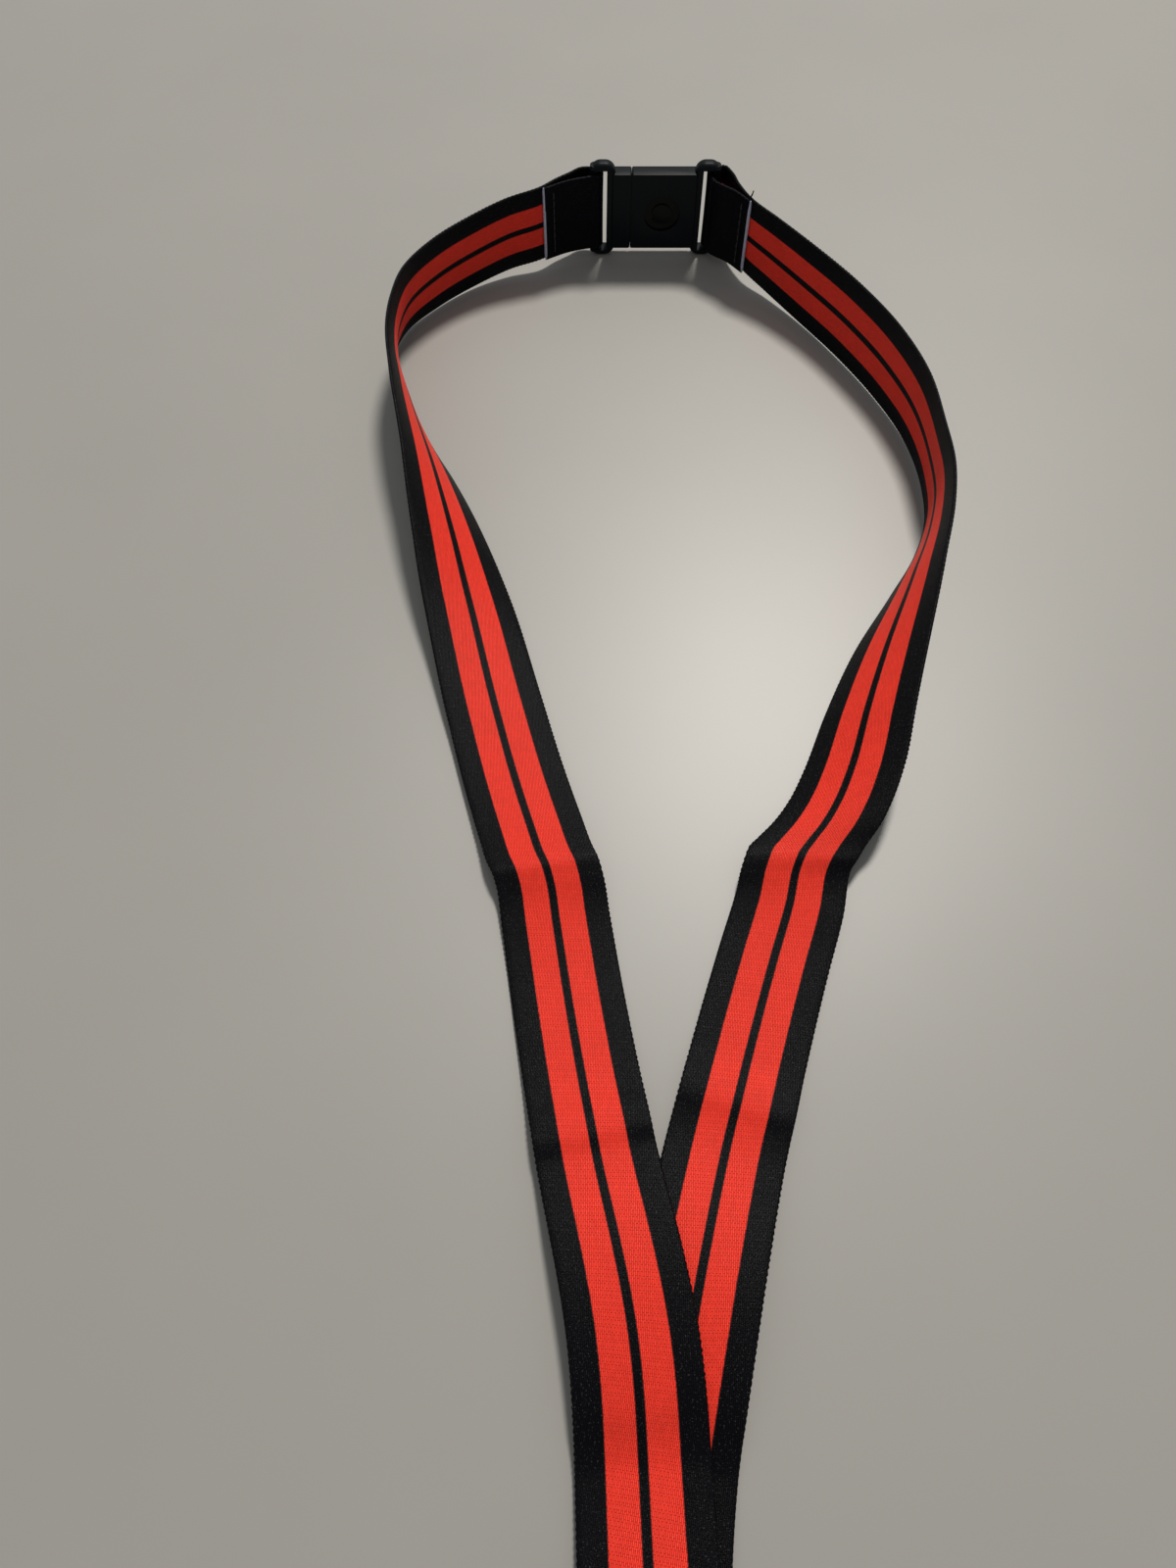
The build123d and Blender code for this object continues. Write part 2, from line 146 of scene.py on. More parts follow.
RIGHT_ROUTE = [
    (-17.0, -152, 0.7, 0), (-17.0, -141, 0.5, 0), (-17.0, -96, 0.5, 0), (-15.6, -60, 0.5, 0),
    (-9.4, -27, 0.5, 0),
    (-3.6, -5, 0.5, 0), (2.9, 16, 0.5, 0), (8.2, 32, 0.5, 0), (11.3, 40.8, 0.5, 0),
    (13.2, 47.2, 0.5, 0), (14.0, 49.2, 0.5, 2), (16.0, 51.6, 0.5, 6), (19.4, 55.4, 0.5, 14),
    (23.4, 61.2, 0.5, 22), (26.2, 66.6, 0.6, 27), (32.4, 81, 0.6, 38), (40.1, 96.5, 0.5, 50),
    (50.0, 112, 0.5, 68), (56.8, 123, 0.5, 80), (60.6, 133, 0.5, 87), (61.5, 144, 0.5, 90),
    (59.4, 160, 0.5, 87), (54.4, 174, 0.5, 84), (46.8, 189, 0.5, 83), (37.0, 204.5, 0.6, 84),
    (30.2, 213.8, 1.5, 87),
]
# How far a rib across the strap leans forward from square, in degrees, by the inner edge's y:
# it leans at the old fold lines, where the strap changes direction all at once.
LEFT_LEAN = [(30, 0), (42, 1), (46.8, 10), (51, 7), (61, 0)]
RIGHT_LEAN = [(30, 0), (40, 2), (47.2, 12), (49.2, 23), (51.6, 33), (55.4, 29), (61.2, 22),
              (66.6, 13), (75, 5), (84, 0)]
# The folded ends in plan, from the buckle's bar: behind the bar, in front of it, and the cut.
LEFT_BEHIND = [(-13.35, -6.2), (-10.05, -3.15), (-6.35, -0.3), (-3.6, 1.8)]
LEFT_FRONT = [(-7.25, -3.95), (-12.85, -7.05)]
RIGHT_BEHIND = [(8.6, -11.6), (5.55, -4.85), (4.1, 0.0), (2.4, 2.6)]
RIGHT_FRONT = [(-0.7, -3.3), (4.65, -8.2), (7.95, -12.4)]
LEFT_TURN, RIGHT_TURN = 180, 130     # how far each end goes round its bar before it comes free
# How high the tails stand off the table, by y: old fold lines with shallow arches between them.
LEFT_LIFT = [(-165, 0), (-120, 0.1), (-96, 0.5), (-76, 0.9), (-62, 0.5), (-53.5, 0.1), (-49.8, 0.12),
             (-46.5, 0.9), (-43, 2.15), (-39, 3.0), (-33, 3.6), (-26, 3.75), (-17, 3.0), (-10, 1.8),
             (-6, 1.4),
             (-3.2, 1.85), (-0.6, 1.65), (4, 0.7), (9, 0.35), (16, 0.3), (28, 0.15), (35, 0.6),
             (40, 1.5), (43.5, 2.6), (45.8, 3.25), (48.3, 2.95), (53, 2.1), (60, 1.2), (72, 0.3),
             (90, 0)]
RIGHT_LIFT = [(-165, 0), (-120, 0.1), (-96, 0.5), (-76, 0.9), (-62, 0.5), (-53.5, 0.1), (-49.8, 0.12),
              (-46.5, 0.8), (-43, 2.05), (-39, 2.9), (-33, 3.5), (-26, 3.65), (-17, 2.9), (-10, 1.7),
              (-5, 1.1),
              (-1.0, 1.25), (1.9, 1.7), (4.6, 1.5), (9, 0.55), (13, 0.3), (25, 0.15), (35, 0.6),
              (40.5, 1.5), (44.2, 2.6), (46.5, 3.25), (49.5, 2.8), (55, 1.5), (62, 0.5), (70, 0)]
# How far the strap bows across its width, by the share of its length.
LEFT_BOW = [(0, 0), (0.1, 0.1), (0.55, 0.12), (0.66, 0.4), (0.74, 0.8), (0.81, 1.6), (0.86, 0.9),
            (0.9, 0.5), (0.94, 0.1), (1, 0)]
RIGHT_BOW = [(0, 0), (0.1, 0.1), (0.55, 0.15), (0.62, 0.5), (0.72, 0.6), (0.8, 0.4), (0.9, 0.2),
             (0.94, 0.1), (1, 0)]


# ---- whole-array geometry ----------------------------------------------------------------------
def unit(vectors):
    """Vectors of length one along the last axis."""
    return vectors / np.linalg.norm(vectors, axis=-1, keepdims=True)


def smooth(knots, values, places):
    """Values at places along a smooth curve through the knots: cubic pieces whose slope at a knot
    is that of the parabola through it and its two neighbours."""
    knots = np.asarray(knots, float)
    values = np.asarray(values, float).reshape(len(knots), -1)
    gap = np.diff(knots)[:, None]
    rate = np.diff(values, axis=0) / gap
    slope = np.concatenate([rate[:1], (rate[:-1] * gap[1:] + rate[1:] * gap[:-1])
                            / (gap[1:] + gap[:-1]), rate[-1:]])
    i = np.clip(np.searchsorted(knots, places, side="right") - 1, 0, len(gap) - 1)
    t = ((places - knots[i]) / gap[i, 0])[:, None]
    return ((2 * t**3 - 3 * t**2 + 1) * values[i] + (t**3 - 2 * t**2 + t) * gap[i] * slope[i]
            + (3 * t**2 - 2 * t**3) * values[i + 1] + (t**3 - t**2) * gap[i] * slope[i + 1])


def read(table, places):
    """A smooth single value from a table of (place, value), held level past its ends."""
    knots, values = np.array(table, float).T
    return smooth(knots, values, np.clip(places, knots[0], knots[-1]))[:, 0]


def lengths_along(points):
    """The length walked along a line of points, at each of them."""
    return np.concatenate([[0], np.cumsum(np.linalg.norm(np.diff(points, axis=0), axis=1))])


def mesh_object(name, points, faces, material, smooth_shade=True):
    """A mesh object from points in millimetres and faces as index arrays, with its faces turned
    outwards: the signed volume under them is the sum of a . (b x c) / 6 over their triangles."""
    volume = sum(np.einsum("ij,ij->", points[f[:, 0]],
                           np.cross(points[f[:, k]], points[f[:, k + 1]]))
                 for f in faces for k in range(1, f.shape[1] - 1))
    if volume < 0:
        faces = [f[:, ::-1] for f in faces]
    mesh = bpy.data.meshes.new(name)
    mesh.from_pydata((points * MM).tolist(), [], [row for f in faces for row in f.tolist()])
    mesh.polygons.foreach_set("use_smooth", np.full(len(mesh.polygons), smooth_shade))
    mesh.materials.append(material)
    mesh.validate()
    made = bpy.data.objects.new(name, mesh)
    bpy.context.scene.collection.objects.link(made)
    return made


def grid_faces(rows, columns, start=0):
    """Quads between neighbouring rows of a grid whose columns close on themselves."""
    i, j = np.meshgrid(np.arange(rows - 1), np.arange(columns), indexing="ij")
    k = (j + 1) % columns
    return start + np.stack([i * columns + j, (i + 1) * columns + j,
                             (i + 1) * columns + k, i * columns + k], -1).reshape(-1, 4)


def tubes(name, paths, radii, ups, sides, material):
    """Closed round tubes along several paths of equally many points: each ring is a circle square
    to its path, of that place's radius, and each end is closed on one middle point."""
    count, rows = paths.shape[:2]
    ahead = unit(np.gradient(paths, axis=1))
    side = unit(np.cross(ahead, ups))
    top = np.cross(side, ahead)
    angle = np.linspace(0, 2 * np.pi, sides, endpoint=False)
    radii = np.broadcast_to(radii, (count, rows))[:, :, None, None]
    rings = paths[:, :, None] + radii * (side[:, :, None] * np.cos(angle)[:, None]
                                         + top[:, :, None] * np.sin(angle)[:, None])
    body = rings.reshape(-1, 3)
    ends = np.concatenate([paths[:, 0], paths[:, -1]])
    quads = np.concatenate([grid_faces(rows, sides, n * rows * sides) for n in range(count)])
    j = np.arange(sides)
    first = (np.arange(count) * rows * sides)[:, None]
    last = first + (rows - 1) * sides
    near = (len(body) + np.arange(count))[:, None]
    caps = np.concatenate([
        np.stack(np.broadcast_arrays(first + j, first + (j + 1) % sides, near), -1),
        np.stack(np.broadcast_arrays(last + (j + 1) % sides, last + j, near + count), -1),
    ]).reshape(-1, 3)
    return mesh_object(name, np.concatenate([body, ends]), [quads, caps], material)


# ---- the strap's shape -------------------------------------------------------------------------
def strap_keys(route, lean, side, behind, turn_end, front, bar_x, eye_turn, top_z, return_z):
    """The strap's key stations from its hidden cut edge to its folded one: points on the inner
    edge and directions across.  It lies under the stack, turns round the eye's bar on a circle,
    follows the route, turns round the buckle's bar on part of a circle, and comes back in front."""
    edge_x = HOOK_X + side * WIDTH / 2
    flat = lambda y, z: (edge_x, y, z)
    turn = np.radians(np.arange(270, 69, -20))
    circle = np.stack([np.full(len(turn), edge_x), EYE_Y + eye_turn * np.cos(turn),
                       EYE_Z + eye_turn * np.sin(turn)], 1)
    start = [flat(STACK_Y, return_z), flat(MERGE_Y, return_z), flat(EYE_Y + 2, return_z)]
    stack = [flat(MERGE_Y, top_z), flat(MERGE_Y + 5, top_z), flat(STACK_Y, top_z)]
    hook_end = np.concatenate([start, circle, stack])
    half_turn = np.radians(np.linspace(0, turn_end, 9))
    round_bar = np.stack([side * TURN_RADIUS * np.sin(half_turn),
                          TURN_RADIUS * np.cos(half_turn)], 1)
    plan = np.concatenate([behind, round_bar, front]) + (bar_x, BUCKLE_Y)
    fold = np.column_stack([plan, np.full(len(plan), STRAP_Z), np.full(len(plan), 90.0)])
    laid = np.concatenate([np.array(route, float), fold])
    ahead = np.zeros((len(laid), 3))
    ahead[:, :2] = unit(np.gradient(laid[:, :2], axis=0))
    square = side * np.stack([-ahead[:, 1], ahead[:, 0], ahead[:, 2]], 1)
    leaning = np.radians(read(lean, laid[:, 1]))[:, None]
    outward = square * np.cos(leaning) + ahead * np.sin(leaning)
    roll = np.radians(laid[:, 3:])
    across = outward * np.cos(roll) + np.array([0, 0, 1.0]) * np.sin(roll)
    hook_across = np.tile([-side, 0.0, 0.0], (len(hook_end), 1))
    return np.concatenate([hook_end, laid[:, :3]]), np.concatenate([hook_across, across])


def strap_line(points, across, side, lift, bow, step):
    """The strap's middle line at even steps, with the directions across it and out of its striped
    face, the distance along it, and its bow.  The face is square to the line and the way across."""
    knots = lengths_along(points + across * WIDTH / 2)
    fine = np.linspace(0, knots[-1], 12000)
    edge, way = smooth(knots, points, fine), unit(smooth(knots, across, fine))
    middle = edge + way * WIDTH / 2
    on_table = fine > knots[ON_TABLE]
    middle[:, 2] += np.where(on_table, read(lift, middle[:, 1]), 0)
    walked = lengths_along(middle)
    along = np.linspace(0, walked[-1], int(walked[-1] / step) + 1)
    middle = np.stack([np.interp(along, walked, middle[:, k]) for k in range(3)], 1)
    way = unit(np.stack([np.interp(along, walked, way[:, k]) for k in range(3)], 1))
    ahead = unit(np.gradient(middle, axis=0))
    face = side * unit(np.cross(ahead, way))
    return {"middle": middle, "across": way, "face": face, "along": along,
            "bow": read(bow, along / along[-1])}


def strap_point(line, along, across, height):
    """Points on a strap: so far along it, so far from its inner edge, and so high off its middle
    thickness on the striped side.  The bow adds the height of a parabola over the width."""
    along, across, height = np.broadcast_arrays(along, across, height)
    pick = lambda key: np.stack([np.interp(along, line["along"], line[key][:, k])
                                 for k in range(3)], -1)
    bowed = np.interp(along, line["along"], line["bow"]) * (1 - (2 * across / WIDTH - 1)**2)
    return (pick("middle") + pick("across") * (across - WIDTH / 2)[..., None]
            + pick("face") * (height + bowed)[..., None])


def strap_mesh(name, line, thickness, material, seed):
    """The strap as one closed skin: a flat oval of section points carried along the line.  The
    two faces are level, the selvedges are half rounds, and the picks of the weft make the
    selvedges wave in and out."""
    half = thickness / 2
    face_columns = np.linspace(half, WIDTH - half, FACE_COLUMNS)
    edge = np.radians(np.linspace(90, -90, 7))[1:-1]
    across = np.concatenate([face_columns, WIDTH - half + half * np.cos(edge),
                             face_columns[::-1], half - half * np.cos(edge)])
    height = np.concatenate([np.full(FACE_COLUMNS, half), half * np.sin(edge),
                             np.full(FACE_COLUMNS, -half), -half * np.sin(edge)])
    rows, columns = len(line["along"]), len(across)
    rng = np.random.default_rng(seed)
    along = line["along"][:, None]
    phase = np.cumsum(rng.normal(0, 0.12, (rows, 2)), axis=0)
    size = 0.6 + 0.4 * np.sin(along / 7.3 + phase)
    wave = PICK_DEPTH * size * np.sin(2 * np.pi * along / PICK_PITCH + phase)
    reach = np.clip(np.abs(across - WIDTH / 2) / (WIDTH / 2), 0, 1)**12
    outer = across > WIDTH / 2
    placed = across + reach * np.where(outer, wave[:, 1:], -wave[:, :1])
    ripple = 0.05 * np.sin(along / 11.0 + 1.3 * np.sin(along / 29.0) + across / 6.0)
    points = strap_point(line, along, placed, height + ripple)
    quads = grid_faces(rows, columns)
    loop = np.arange(columns)[None]
    caps = [loop[:, ::-1], loop + (rows - 1) * columns]
    made = mesh_object(name, points.reshape(-1, 3), [quads, *caps], material)
    mark_cloth(made, line["along"], across, height, columns)
    return made


def mark_cloth(strap, along, across, height, columns):
    """The strap's own map, in centimetres: along it, and across it from the inner edge, with the
    reverse three centimetres further on so that it never meets the face."""
    mesh = strap.data
    vertex = np.empty(len(mesh.loops), np.int32)
    mesh.loops.foreach_get("vertex_index", vertex)
    starts = np.empty(len(mesh.polygons), np.int32)
    sizes = np.empty(len(mesh.polygons), np.int32)
    mesh.polygons.foreach_get("loop_start", starts)
    mesh.polygons.foreach_get("loop_total", sizes)
    column = vertex % columns
    high = np.add.reduceat(height[column], starts) / sizes
    reverse = np.repeat(high < -1e-6, sizes)
    flat = np.stack([along[vertex // columns] / 10,
                     across[column] / 10 + np.where(reverse, 3.0, 0.0)], 1)
    layer = mesh.uv_layers.new(name="strap")
    layer.data.foreach_set("uv", flat.astype(np.float32).ravel())


def stitches(name, starts, ends, ups, radius, material):
    """A run of stitches: each is a short tube from one hole to the next, whose middle stands on
    the cloth and whose ends dive into it, as 1 - t to the fourth for t from -1 to 1."""
    t = np.linspace(-1, 1, 9)
    paths = (starts[:, None] * (1 - t[:, None]) + ends[:, None] * (1 + t[:, None])) / 2
    paths = paths + ups[:, None] * (radius * (1.6 * (1 - t**4) - 1.0))[:, None]
    thick = radius * (1 - 0.25 * t**4)
    return tubes(name, paths, thick, np.broadcast_to(ups[:, None], paths.shape), 6, material)


# ---- materials ---------------------------------------------------------------------------------
def add_node(tree, kind, inputs=(), **settings):
    """A shader node with its settings, and its inputs as values or as other nodes' outputs."""
    made = tree.nodes.new("ShaderNode" + kind)
    for key, value in settings.items():
        setattr(made, key, value)
    for key, value in dict(inputs).items():
        if isinstance(value, bpy.types.NodeSocket):
            tree.links.new(value, made.inputs[key])
        else:
            made.inputs[key].default_value = value
    return made


def calculate(tree, operation, a, b=0.0):
    """One arithmetic node's output."""
    return add_node(tree, "Math", {0: a, 1: b}, operation=operation).outputs[0]


def scaled(tree, value, low, high):
    """A value from 0 to 1 spread over another range."""
    return add_node(tree, "MapRange", {"Value": value, "To Min": low, "To Max": high}).outputs[0]


def tinted(tree, colour, grey):
    """A colour multiplied by a grey value."""
    first = colour if isinstance(colour, bpy.types.NodeSocket) else colour[:3]
    return add_node(tree, "VectorMath", {0: first, 1: grey}, operation="MULTIPLY").outputs[0]


def new_material(name, **sockets):
    """A material with one surface shader, and constants set on that shader's own sockets."""
    material = bpy.data.materials.new(name)
    material.use_nodes = True
    tree = material.node_tree
    surface = tree.nodes["Principled BSDF"]
    for key, value in sockets.items():
        surface.inputs[key.replace("_", " ")].default_value = value
    return material, tree, surface


def bump(tree, surface, height, distance, strength=1.0):
    """Small relief in the surface, from a height between 0 and 1."""
    relief = add_node(tree, "Bump", {"Height": height, "Distance": distance, "Strength": strength})
    tree.links.new(relief.outputs["Normal"], surface.inputs["Normal"])


def webbing(look):
    """Satin webbing.  Stripes follow the distance across the strap.  The face's yarns are short
    floats in rows a little off the strap's own line, and each float has its own shade.  The
    selvedges are dark, and stray fibres show as fine pale specks."""
    material, tree, surface = new_material(
        "striped_satin_webbing", Specular_IOR_Level=0.08)
    link = tree.links.new
    cloth = add_node(tree, "UVMap", uv_map="strap").outputs["UV"]
    place = add_node(tree, "SeparateXYZ", {0: cloth})
    fray = add_node(tree, "TexNoise", {"Vector": cloth, "Scale": 30.0, "Detail": 2.0})
    wobble = calculate(tree, "MULTIPLY", calculate(tree, "SUBTRACT", fray.outputs[0], 0.5), 0.02)
    across = calculate(tree, "ADD", place.outputs[1], wobble)
    share = calculate(tree, "DIVIDE", across, WIDTH / 10)
    stripes = add_node(tree, "ValToRGB", {0: share})
    stops = stripes.color_ramp.elements
    dark, bright = tuple(look.margin_colour), tuple(look.stripe_colour)
    rim = tuple(look.rim_colour)
    line = look.line_width / look.width / 2
    stripe = look.stripe_width / look.width
    changes = [0.5 - line - stripe, 0.5 - line, 0.5 + line, 0.5 + line + stripe]
    stops[0].position, stops[0].color = 0.0, dark
    stops[1].position, stops[1].color = 1.0, dark
    for where, way in zip(changes, (-1, 1, -1, 1)):
        for step, colour in ((0.007, dark), (0.0025, rim), (-0.0045, bright)):
            stops.new(where + way * step).color = colour
    reverse = calculate(tree, "GREATER_THAN", place.outputs[1], 2.5)
    sides = add_node(tree, "Mix", {0: reverse, 6: stripes.outputs[0],
                                   7: tuple(look.reverse_colour)}, data_type="RGBA")
    turned = add_node(tree, "Mapping", {"Vector": cloth, "Rotation": (0, 0, math.radians(12))})
    yarn = add_node(tree, "TexBrick", {
        "Vector": turned.outputs[0], "Color1": (0.93, 0.93, 0.93, 1), "Color2": (1.07, 1.07, 1.07, 1),
        "Mortar": (0.82, 0.82, 0.82, 1), "Scale": 1.0, "Mortar Size": 0.0045,
        "Mortar Smooth": 0.9, "Brick Width": 0.1, "Row Height": 0.028}, offset=0.37)
    patches = add_node(tree, "TexNoise", {"Vector": cloth, "Scale": 1.7, "Detail": 3.0})
    shade = scaled(tree, patches.outputs[0], 0.93, 1.07)
    fibres = add_node(tree, "TexNoise", {"Vector": cloth, "Scale": 34.0, "Detail": 1.0})
    stray = add_node(tree, "MapRange", {"Value": fibres.outputs[0], "From Min": 0.62,
                                        "From Max": 0.72, "To Min": 0.0, "To Max": 0.035})
    woven = tinted(tree, tinted(tree, sides.outputs[2], yarn.outputs["Color"]), shade)
    flecked = add_node(tree, "VectorMath", {0: woven, 1: stray.outputs[0]}, operation="ADD")
    link(flecked.outputs[0], surface.inputs["Base Color"])
    specks = add_node(tree, "TexNoise", {"Vector": cloth, "Scale": 55.0, "Detail": 1.0})
    link(scaled(tree, specks.outputs[0], 0.3, 0.54), surface.inputs["Roughness"])
    rise = calculate(tree, "SUBTRACT", 1.0, yarn.outputs["Fac"])
    uneven = calculate(tree, "MULTIPLY", specks.outputs[0], 0.5)
    bump(tree, surface, calculate(tree, "ADD", rise, uneven), 0.00014)
    return material


def sewing_thread(colour):
    """Dull spun thread, with a fine twist in its relief."""
    material, tree, surface = new_material("sewing_thread", Roughness=0.6, Sheen_Weight=0.2)
    place = add_node(tree, "TexCoord").outputs["Object"]
    fluff = add_node(tree, "TexNoise", {"Vector": place, "Scale": 5200.0, "Detail": 2.0})
    tree.links.new(tinted(tree, colour, scaled(tree, fluff.outputs[0], 0.6, 1.4)),
                   surface.inputs["Base Color"])
    bump(tree, surface, fluff.outputs[0], 0.00005)
    return material


def fused_edge(colour):
    """The heat-cut end of the webbing: melted yarn, pale and glassy, with small beads."""
    material, tree, surface = new_material("fused_cut_edge", Specular_IOR_Level=0.5)
    place = add_node(tree, "TexCoord").outputs["Object"]
    beads = add_node(tree, "TexNoise", {"Vector": place, "Scale": 1500.0, "Detail": 3.0})
    tree.links.new(tinted(tree, colour, scaled(tree, beads.outputs[0], 0.55, 1.35)),
                   surface.inputs["Base Color"])
    tree.links.new(scaled(tree, beads.outputs[0], 0.25, 0.55), surface.inputs["Roughness"])
    bump(tree, surface, beads.outputs[0], 0.0001)
    return material


def moulded_plastic(colour):
    """Matt black acetal: a fine spark-eroded grain, and soft blotches where it has been handled.
    The round recess is polished, and painted shade makes it and its rim darker than the face round it."""
    material, tree, surface = new_material("moulded_black_plastic", Specular_IOR_Level=0.13)
    place = add_node(tree, "TexCoord").outputs["Object"]
    grain = add_node(tree, "TexNoise", {"Vector": place, "Scale": 4200.0, "Detail": 2.0})
    handled = add_node(tree, "TexNoise", {"Vector": place, "Scale": 160.0, "Detail": 3.0})
    spot = add_node(tree, "VectorMath", {0: place, 1: (1, 0, 1)}, operation="MULTIPLY")
    away = add_node(tree, "VectorMath", {0: spot.outputs[0], 1: (RECESS_X * MM, 0, RECESS_Z * MM)},
                    operation="DISTANCE").outputs["Value"]
    # Painted shade: inside this circle the base colour is cut to 0.12 of the face's, and the roughness
    # is lowered for the polish.
    inside = calculate(tree, "LESS_THAN", away, RECESS_RADIUS * MM)
    painted_recess_shade = calculate(tree, "SUBTRACT", 1.0, calculate(tree, "MULTIPLY", inside, 0.88))
    shade = calculate(tree, "MULTIPLY", scaled(tree, handled.outputs[0], 0.8, 1.25), painted_recess_shade)
    tree.links.new(tinted(tree, colour, shade), surface.inputs["Base Color"])
    rough = calculate(tree, "ADD", scaled(tree, handled.outputs[0], -0.07, 0.07),
                      scaled(tree, grain.outputs[0], 0.4, 0.52))
    polish = calculate(tree, "SUBTRACT", rough, calculate(tree, "MULTIPLY", inside, 0.22))
    tree.links.new(polish, surface.inputs["Roughness"])
    bump(tree, surface, grain.outputs[0], 0.00003)
    return material


def metal(name, colour, smoothest, roughest, grain_size):
    """Bright metal with hairline scratches and a faint cast or drawn unevenness."""
    material, tree, surface = new_material(name, Metallic=1.0)
    place = add_node(tree, "TexCoord").outputs["Object"]
    stretched = add_node(tree, "Mapping", {"Vector": place, "Scale": (1.0, 0.12, 1.0)})
    scratches = add_node(tree, "TexNoise", {"Vector": stretched.outputs[0], "Scale": grain_size,
                                            "Detail": 3.0})
    cast = add_node(tree, "TexNoise", {"Vector": place, "Scale": 420.0, "Detail": 2.0})
    tree.links.new(tinted(tree, colour, scaled(tree, cast.outputs[0], 0.86, 1.08)),
                   surface.inputs["Base Color"])
    tree.links.new(scaled(tree, scratches.outputs[0], smoothest, roughest),
                   surface.inputs["Roughness"])
    mixed = calculate(tree, "ADD", cast.outputs[0],
                      calculate(tree, "MULTIPLY", scratches.outputs[0], 0.3))
    bump(tree, surface, mixed, 0.00002)
    return material


def table_top(colour):
    """A plain pale table top with a faint satin gloss."""
    material, tree, surface = new_material("plain_table_top", Specular_IOR_Level=0.5)
    place = add_node(tree, "TexCoord").outputs["Object"]
    cloud = add_node(tree, "TexNoise", {"Vector": place, "Scale": 14.0, "Detail": 4.0})
    tree.links.new(tinted(tree, colour, scaled(tree, cloud.outputs[0], 0.94, 1.06)),
                   surface.inputs["Base Color"])
    surface.inputs["Roughness"].default_value = 0.42
    return material


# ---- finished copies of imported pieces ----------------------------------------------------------
def finished_copy(node, name, material, body, round_width, flat_angle=1.0):
    """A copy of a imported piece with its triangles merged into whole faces, and every sharp edge
    rounded by a bevel."""
    made = bpy.data.objects.new(name, frame["nodes"][node].data.copy())
    bpy.context.scene.collection.objects.link(made)
    shape = bmesh.new()
    shape.from_mesh(made.data)
    bmesh.ops.remove_doubles(shape, verts=shape.verts, dist=2e-6)
    bmesh.ops.dissolve_limit(shape, angle_limit=math.radians(flat_angle), verts=shape.verts,
                             edges=shape.edges)
    for face in shape.faces:
        face.smooth = True
    shape.to_mesh(made.data)
    shape.free()
    made.data.materials.clear()
    made.data.materials.append(material)
    bevel = made.modifiers.new("rounded edges", "BEVEL")
    bevel.width = round_width * MM
    bevel.segments = 3
    bevel.limit_method = "ANGLE"
    bevel.angle_limit = math.radians(35)
    bevel.harden_normals = True
    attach(made, body)
    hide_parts(node)
    return made


# ---- settings ----------------------------------------------------------------------------------
def colour_setting(name, description, default):
    """A colour that a user can change."""
    return FloatVectorProperty(name=name, description=description, default=(*default, 1.0),
                               size=4, subtype="COLOR", min=0, max=1)


def size_setting(name, description, default):
    """A length that a user can change, given here in millimetres."""
    return FloatProperty(name=name, description=description, default=default * MM, unit="LENGTH",
                         min=0, precision=5)


class LanyardStrapSettings(bpy.types.PropertyGroup):
    width: size_setting("Width", "Width of the webbing", WIDTH)
    thickness: size_setting("Thickness", "Thickness of the webbing", 0.76)
    stripe_width: size_setting("Stripe", "Width of each bright stripe", 4.75)
    line_width: size_setting("Line", "Width of the dark line between the stripes", 1.5)
    step: size_setting("Step", "Distance between the mesh's rows", 0.38)
    margin_colour: colour_setting("Margin", "Colour of the margins", (0.0024, 0.0024, 0.0036))
    stripe_colour: colour_setting("Stripe colour", "Colour of the stripes", (0.97, 0.05, 0.028))
    rim_colour: colour_setting("Stripe rim", "Colour of the stripes' outermost yarns",
                               (0.07, 0.013, 0.012))
    reverse_colour: colour_setting("Reverse", "Colour of the reverse", (0.0012, 0.0016, 0.0042))
    cut_colour: colour_setting("Cut edge", "Colour of the fused edge", (0.42, 0.45, 0.56))


class LanyardThreadSettings(bpy.types.PropertyGroup):
    radius: size_setting("Thread radius", "Radius of the sewing thread", 0.17)
    pitch: size_setting("Stitch", "Distance from one stitch to the next", 2.1)
    colour: colour_setting("Thread", "Colour of the thread", (0.005, 0.0055, 0.008))


class LanyardBuckleSettings(bpy.types.PropertyGroup):
    edge: size_setting("Edge", "Rounding of the moulded edges", 0.28)
    colour: colour_setting("Plastic", "Colour of the plastic", (0.0022, 0.0043, 0.0058))


class LanyardHookSettings(bpy.types.PropertyGroup):
    edge: size_setting("Edge", "Rounding of the cast edges", 0.5)
    wire: size_setting("Wire", "Radius of the spring's wire", 0.2)
    nickel: colour_setting("Nickel", "Colour of the plated hook", (0.66, 0.63, 0.59))
    steel: colour_setting("Steel", "Colour of the pin and spring", (0.5, 0.5, 0.51))


class LanyardStageSettings(bpy.types.PropertyGroup):
    floor_colour: colour_setting("Floor", "Colour of the table top", (0.33, 0.317, 0.29))
    lamp_power: FloatProperty(name="Lamp", description="Power of the main lamp", default=50.0,
                              unit="POWER", min=0)
    lamp_size: FloatProperty(name="Lamp size", description="Width of the main lamp", default=0.42,
                             unit="LENGTH", min=0)
    sky: FloatProperty(name="Surroundings", description="Strength of the light all round",
                       default=0.34, min=0)


